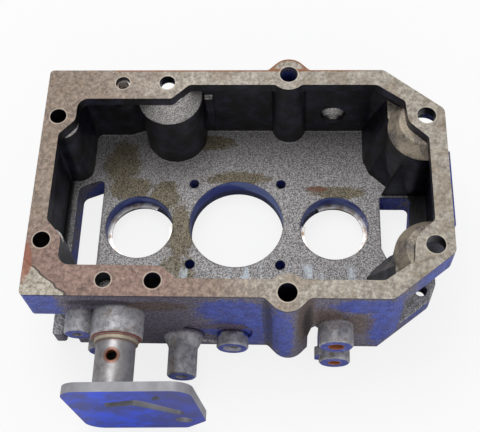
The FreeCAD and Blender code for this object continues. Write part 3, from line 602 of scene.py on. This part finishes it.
# Painted reflection: the boss ends facing the front are painted blue.
boss_end = product(tree, past_wall, beside_ear, ramp(tree, facing_y, -0.9, -0.97))
end_reflection_blue = mix(tree, ramp(tree, boss_tone, 0.4, 0.65), colour(44, 58, 150), colour(96, 104, 176))
outer_colour = mix(tree, boss_end, outer_colour, end_reflection_blue)

spigot_axis = (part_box("spigot_tube")[0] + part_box("spigot_tube")[1]) / 2 / MM
COLLAR_RADIUS = 15
ALONG_Y = (1, 0, 1)
collar_zone = place_group(
    tree, ring, Place=place, Centre=spigot_axis, Across=ALONG_Y, Radius=COLLAR_RADIUS + 0.4, Width=1.6
)
COLLAR_FOOT = -108
collar = product(tree, collar_zone["Inside"], ramp(tree, y, COLLAR_FOOT - 0.2, COLLAR_FOOT - 0.8))
collar_beige = mix(tree, boss_tone, colour(120, 108, 92), colour(214, 204, 184))
outer_colour = mix(tree, collar, outer_colour, collar_beige)
collar_root = product(tree, collar, ramp(tree, y, COLLAR_FOOT - 1.6, COLLAR_FOOT - 0.8))
rust_seam = maths(tree, "MAXIMUM", collar_zone["Edge"], collar_root)
rust_seam = product(tree, rust_seam, ramp(tree, y, COLLAR_FOOT + 2.5, COLLAR_FOOT + 1))
seam_rust = mix(tree, boss_tone, colour(92, 48, 24), colour(176, 98, 52))
outer_colour = mix(tree, rust_seam, outer_colour, seam_rust)
for name in ("twin_upper_hole", "twin_lower_hole"):
    drilled = place_group(
        tree, ring, Place=place, Centre=spot(name), Across=ALONG_Y, Radius=bore_radius(name) + 0.2
    )["Inside"]
    rusty_hole = product(tree, drilled, ramp(tree, y, FRONT + 2, FRONT - 2))
    outer_colour = mix(tree, rusty_hole, outer_colour, colour(170, 104, 62))
print("boss colours ready")

# %% Casting: bearing seats
GROOVE_DEPTH = 1.8
bored = []
for name in ("centre_seat", "left_seat", "right_seat"):
    radius = bore_radius(name) + GROOVE_DEPTH
    bored.append(place_group(tree, ring, Place=place, Centre=spot(name), Radius=radius)["Inside"])
upright = ramp(tree, facing_z, 0.4, 0.2)
seat_wall = product(tree, any_of(tree, bored), upright, ramp(tree, z, FLOOR + 0.5, FLOOR - 0.1))
# Painted reflection: the bore walls are painted blue; painted shade darkens their lowest band.
band = noise(tree, vector_maths(tree, "MULTIPLY", place, (0.4, 0.4, 1)), 14, detail=2, seed=41)
seat_reflection_colour = mix(tree, ramp(tree, band, 0.4, 0.62), colour(22, 46, 140), colour(104, 122, 184))
BORE_SHADE_TOP = 9.5
bore_foot_shade = ramp(tree, z, BORE_SHADE_TOP, BORE_SHADE_TOP - 2)
seat_reflection_colour = tint(tree, seat_reflection_colour, colour(14, 16, 30), bore_foot_shade, 0.75)
all_colour = mix(tree, inside, outer_colour, inner_colour)
all_colour = mix(tree, seat_wall, all_colour, seat_reflection_colour)
all_colour = mix(tree, rim_face, all_colour, rim_colour)
print("seat colours ready")

# %% [markdown]
# ### Gloss and grain
# The milled rim has a finer and shallower grain than the sandy skin, and the oily inner
# walls are the shiniest. A Bevel node rounds the normal at every edge except on the rim
# face, so the edges catch a highlight without extra faces.

# %% Casting: gloss, grain and the finished material
machined = maths(tree, "MAXIMUM", rim_face, seat_wall)
smooth_skin = maths(tree, "MULTIPLY", inside, maths(tree, "SUBTRACT", 1, face_up))
rough = blend(tree, speckle, 0.62, 0.42)
rough = blend(tree, smooth_skin, rough, blend(tree, wall_cloud, 0.5, 0.26))
rough = blend(tree, machined, rough, blend(tree, rim_fine, 0.6, 0.42))
height = blend(tree, machined, sand_height, maths(tree, "MULTIPLY", rim_fine, 0.35))
height = blend(tree, boss_side, height, maths(tree, "MULTIPLY", boss_tone, 0.7))
EDGE_ROUND, GRAIN_DEPTH = 2.2, 0.5
rounded = tree.nodes.new("ShaderNodeBevel")
rounded.samples = 6
rounded.inputs["Radius"].default_value = EDGE_ROUND * MM
relief = bump(tree, height, GRAIN_DEPTH, 0.8)
cast_normal = bump(tree, height, GRAIN_DEPTH, 0.8, normal=rounded.outputs[0])
keep_sharp = tree.nodes.new("ShaderNodeMix")
keep_sharp.data_type = "VECTOR"
wire(tree, keep_sharp.inputs[0], rim_face)
wire(tree, keep_sharp.inputs[4], cast_normal)
wire(tree, keep_sharp.inputs[5], relief)
wire(tree, shader["Base Color"], all_colour)
wire(tree, shader["Roughness"], rough)
wire(tree, shader["Normal"], keep_sharp.outputs[1])
shader["Metallic"].default_value = 0.3
shader["Specular IOR Level"].default_value = 0.5


def dress(node, material):
    """Puts the material in every slot of the CAD piece."""
    for slot in frame["nodes"][node].material_slots:
        slot.material = material


dress("housing", casting)
print("casting material:", len(tree.nodes), "nodes")

# %% [markdown]
# ## Turned spigot
# The spigot is a turned steel tube. It is grey and mottled, darker on its left, with rust
# next to the boss and round the cross hole. Turning leaves fine rings, so the fine noise
# is stretched across the axis and changes quickly along it.

# %% Spigot finish
turned, tree, place, _, shader = new_finish("turned steel")
x, y, _ = split(tree, place)
tube_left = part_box("spigot_tube")[0].x / MM
CROSS_HOLE_Y, CROSS_HOLE_RADIUS = -123, 4.2
DARK_SIDE, MOTTLE_SHIFT = 18, 14
rings = noise(tree, vector_maths(tree, "MULTIPLY", place, (0.05, 1, 0.05)), 0.8, detail=2)
mottle = noise(tree, place, 5, detail=4, rough=0.65, seed=3)
steel = mix(tree, mottle, colour(96, 92, 92), colour(196, 194, 196))
shifted = maths(tree, "MULTIPLY_ADD", mottle, MOTTLE_SHIFT, x)
dark = ramp(tree, shifted, tube_left + DARK_SIDE, tube_left + DARK_SIDE - 11)
steel = tint(tree, steel, colour(72, 66, 66), dark, 0.5)
rusty = product(tree, ramp(tree, y, -113.5, -111.8), ramp(tree, mottle, 0.35, 0.5))
steel = tint(tree, steel, colour(132, 84, 54), rusty, 0.6)
cross = place_group(
    tree, ring, Place=place, Centre=(spigot_axis.x, CROSS_HOLE_Y, 0), Radius=CROSS_HOLE_RADIUS, Width=1.4
)
round_hole = maths(tree, "MAXIMUM", cross["Inside"], maths(tree, "MULTIPLY", cross["Edge"], 0.7))
steel = mix(tree, round_hole, steel, colour(128, 80, 60))
wire(tree, shader["Base Color"], steel)
wire(tree, shader["Roughness"], blend(tree, mottle, 0.5, 0.3))
wire(tree, shader["Normal"], bump(tree, maths(tree, "ADD", rings, mottle), 0.08))
shader["Metallic"].default_value = 0.6
dress("spigot_tube", turned)
print("spigot finish ready")

# %% [markdown]
# ## Slotted plate
# The plate on the spigot's end is cut from sheet steel. Its face carries a painted blue
# reflection, with a darker patch of painted reflection and a duller right end, while its edge
# band is bare grey.

# %% Plate finish
plated, tree, place, facing, shader = new_finish("plate steel")
x = split(tree, place)["X"]
facing_y = split(tree, facing)["Y"]
plate_low, plate_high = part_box("slotted_plate")
cloud = noise(tree, place, 12, detail=3, seed=5)
scratch = noise(tree, vector_maths(tree, "MULTIPLY", place, (0.15, 1, 1)), 1.2, detail=3, seed=8)
# Painted reflection: the plate face is painted blue, with a darker painted reflection in one patch.
face_reflection_blue = mix(tree, ramp(tree, cloud, 0.3, 0.7), colour(12, 40, 140), colour(14, 70, 226))
dark_reflection = place_group(
    tree, smear, Place=place, Centre=(-92, -148, 52), Reach=(26, 12, 9), Fray=1.2
)["Mask"]
face_reflection_blue = tint(tree, face_reflection_blue, colour(28, 30, 74), dark_reflection, 0.5)
dull_end = ramp(tree, x, -58, -36)
face_reflection_blue = tint(tree, face_reflection_blue, colour(52, 48, 92), dull_end, 0.5)
edge_grey = mix(tree, cloud, colour(92, 92, 98), colour(182, 182, 188))
on_face = ramp(tree, facing_y, -0.8, -0.93)
wire(tree, shader["Base Color"], mix(tree, on_face, edge_grey, face_reflection_blue))
wire(tree, shader["Roughness"], blend(tree, cloud, 0.35, 0.5))
wire(tree, shader["Normal"], bump(tree, maths(tree, "ADD", scratch, cloud), 0.12))
shader["Metallic"].default_value = 0.1
dress("slotted_plate", plated)
print("plate finish ready, plate length", round((plate_high.x - plate_low.x) / MM, 1))

# %% [markdown]
# ## Spring steel
# The snap rings and the ring dowel are bright spring steel with a little tarnish.

# %% Spring steel finish
spring, tree, place, _, shader = new_finish("spring steel")
tarnish = noise(tree, place, 6, detail=3, seed=7)
bright = mix(tree, ramp(tree, tarnish, 0.4, 0.7), colour(224, 222, 220), colour(150, 132, 116))
wire(tree, shader["Base Color"], bright)
wire(tree, shader["Roughness"], blend(tree, tarnish, 0.22, 0.42))
wire(tree, shader["Normal"], bump(tree, tarnish, 0.05))
shader["Metallic"].default_value = 0.75
for node in ("snap_ring_left", "snap_ring_right", "ring_dowel"):
    dress(node, spring)
print("spring steel ready")

# %% [markdown]
# ## Floor and light
# The casting stands on a plain white surface that carries its shadow. The surface shows
# itself as near white to the camera, so the lamps need not be turned up for it. A broad
# lamp stands above and behind, a weaker one in front, and the world fills the rest.

# %% Studio
STAGE_SIZE, STAGE_DROP = 4.0, 0.0002
PAPER_GLOW, WORLD_STRENGTH = 0.82, 0.5
white = bpy.data.materials.new("white paper")
white.use_nodes = True
tree = white.node_tree
shader = tree.nodes["Principled BSDF"]
shader.inputs["Base Color"].default_value = (0.9, 0.9, 0.9, 1)
shader.inputs["Roughness"].default_value = 0.8
glow = tree.nodes.new("ShaderNodeEmission")
glow.inputs["Strength"].default_value = 1.0
seen = tree.nodes.new("ShaderNodeLightPath")
seen_white = maths(tree, "MULTIPLY", seen.outputs["Is Camera Ray"], PAPER_GLOW)
cover = tree.nodes.new("ShaderNodeMixShader")
wire(tree, cover.inputs[0], seen_white)
wire(tree, cover.inputs[1], shader.outputs[0])
wire(tree, cover.inputs[2], glow.outputs[0])
wire(tree, tree.nodes["Material Output"].inputs["Surface"], cover.outputs[0])
bpy.ops.mesh.primitive_plane_add(size=STAGE_SIZE, location=(0, 0, cad_box[0][2] - STAGE_DROP))
floor = bpy.context.object
floor.name = "floor"
floor.data.materials.append(white)


def lamp(name, place, aim, size, power):
    """A square area lamp at that place, turned to the aim."""
    data = bpy.data.lights.new(name, "AREA")
    data.size = size
    data.energy = power
    lit = bpy.data.objects.new(name, data)
    lit.location = place
    lit.rotation_euler = (Vector(aim) - Vector(place)).to_track_quat("-Z", "Y").to_euler()
    bpy.context.scene.collection.objects.link(lit)


AIM = (0, 0, 0.05)
lamp("top lamp", (-0.15, 0.35, 1.1), AIM, size=0.7, power=6)
lamp("front lamp", (0.25, -1.1, 0.75), AIM, size=0.8, power=3)
world = bpy.data.worlds.new("studio")
world.use_nodes = True
world.node_tree.nodes["Background"].inputs["Color"].default_value = (1, 1, 1, 1)
world.node_tree.nodes["Background"].inputs["Strength"].default_value = WORLD_STRENGTH
bpy.context.scene.world = world
bpy.context.scene.view_settings.view_transform = "Standard"
print("studio ready")

# %% [markdown]
# ## Camera
# The camera stands in front of the boss wall and looks down into the open case. Its place
# and three turns are set one after the other: round the upright, down from level, and a
# small roll about the line of sight.

# %% Camera
CAMERA_PLACE = (0.0421, -0.3089, 0.6892)
CAMERA_TURN, CAMERA_DOWN, CAMERA_ROLL = 6.48, 61.67, -5.48
CAMERA_LENS, CAMERA_SHIFT = 71.8, -0.1
view = bpy.data.cameras.new("camera")
view.lens = CAMERA_LENS
view.shift_y = CAMERA_SHIFT
camera = bpy.data.objects.new("camera", view)
turns = (
    Matrix.Rotation(math.radians(CAMERA_TURN), 4, "Z")
    @ Matrix.Rotation(math.radians(90 - CAMERA_DOWN), 4, "X")
    @ Matrix.Rotation(math.radians(CAMERA_ROLL), 4, "Z")
)
camera.matrix_world = Matrix.Translation(CAMERA_PLACE) @ turns
bpy.context.scene.collection.objects.link(camera)
bpy.context.scene.camera = camera
print("camera ready")
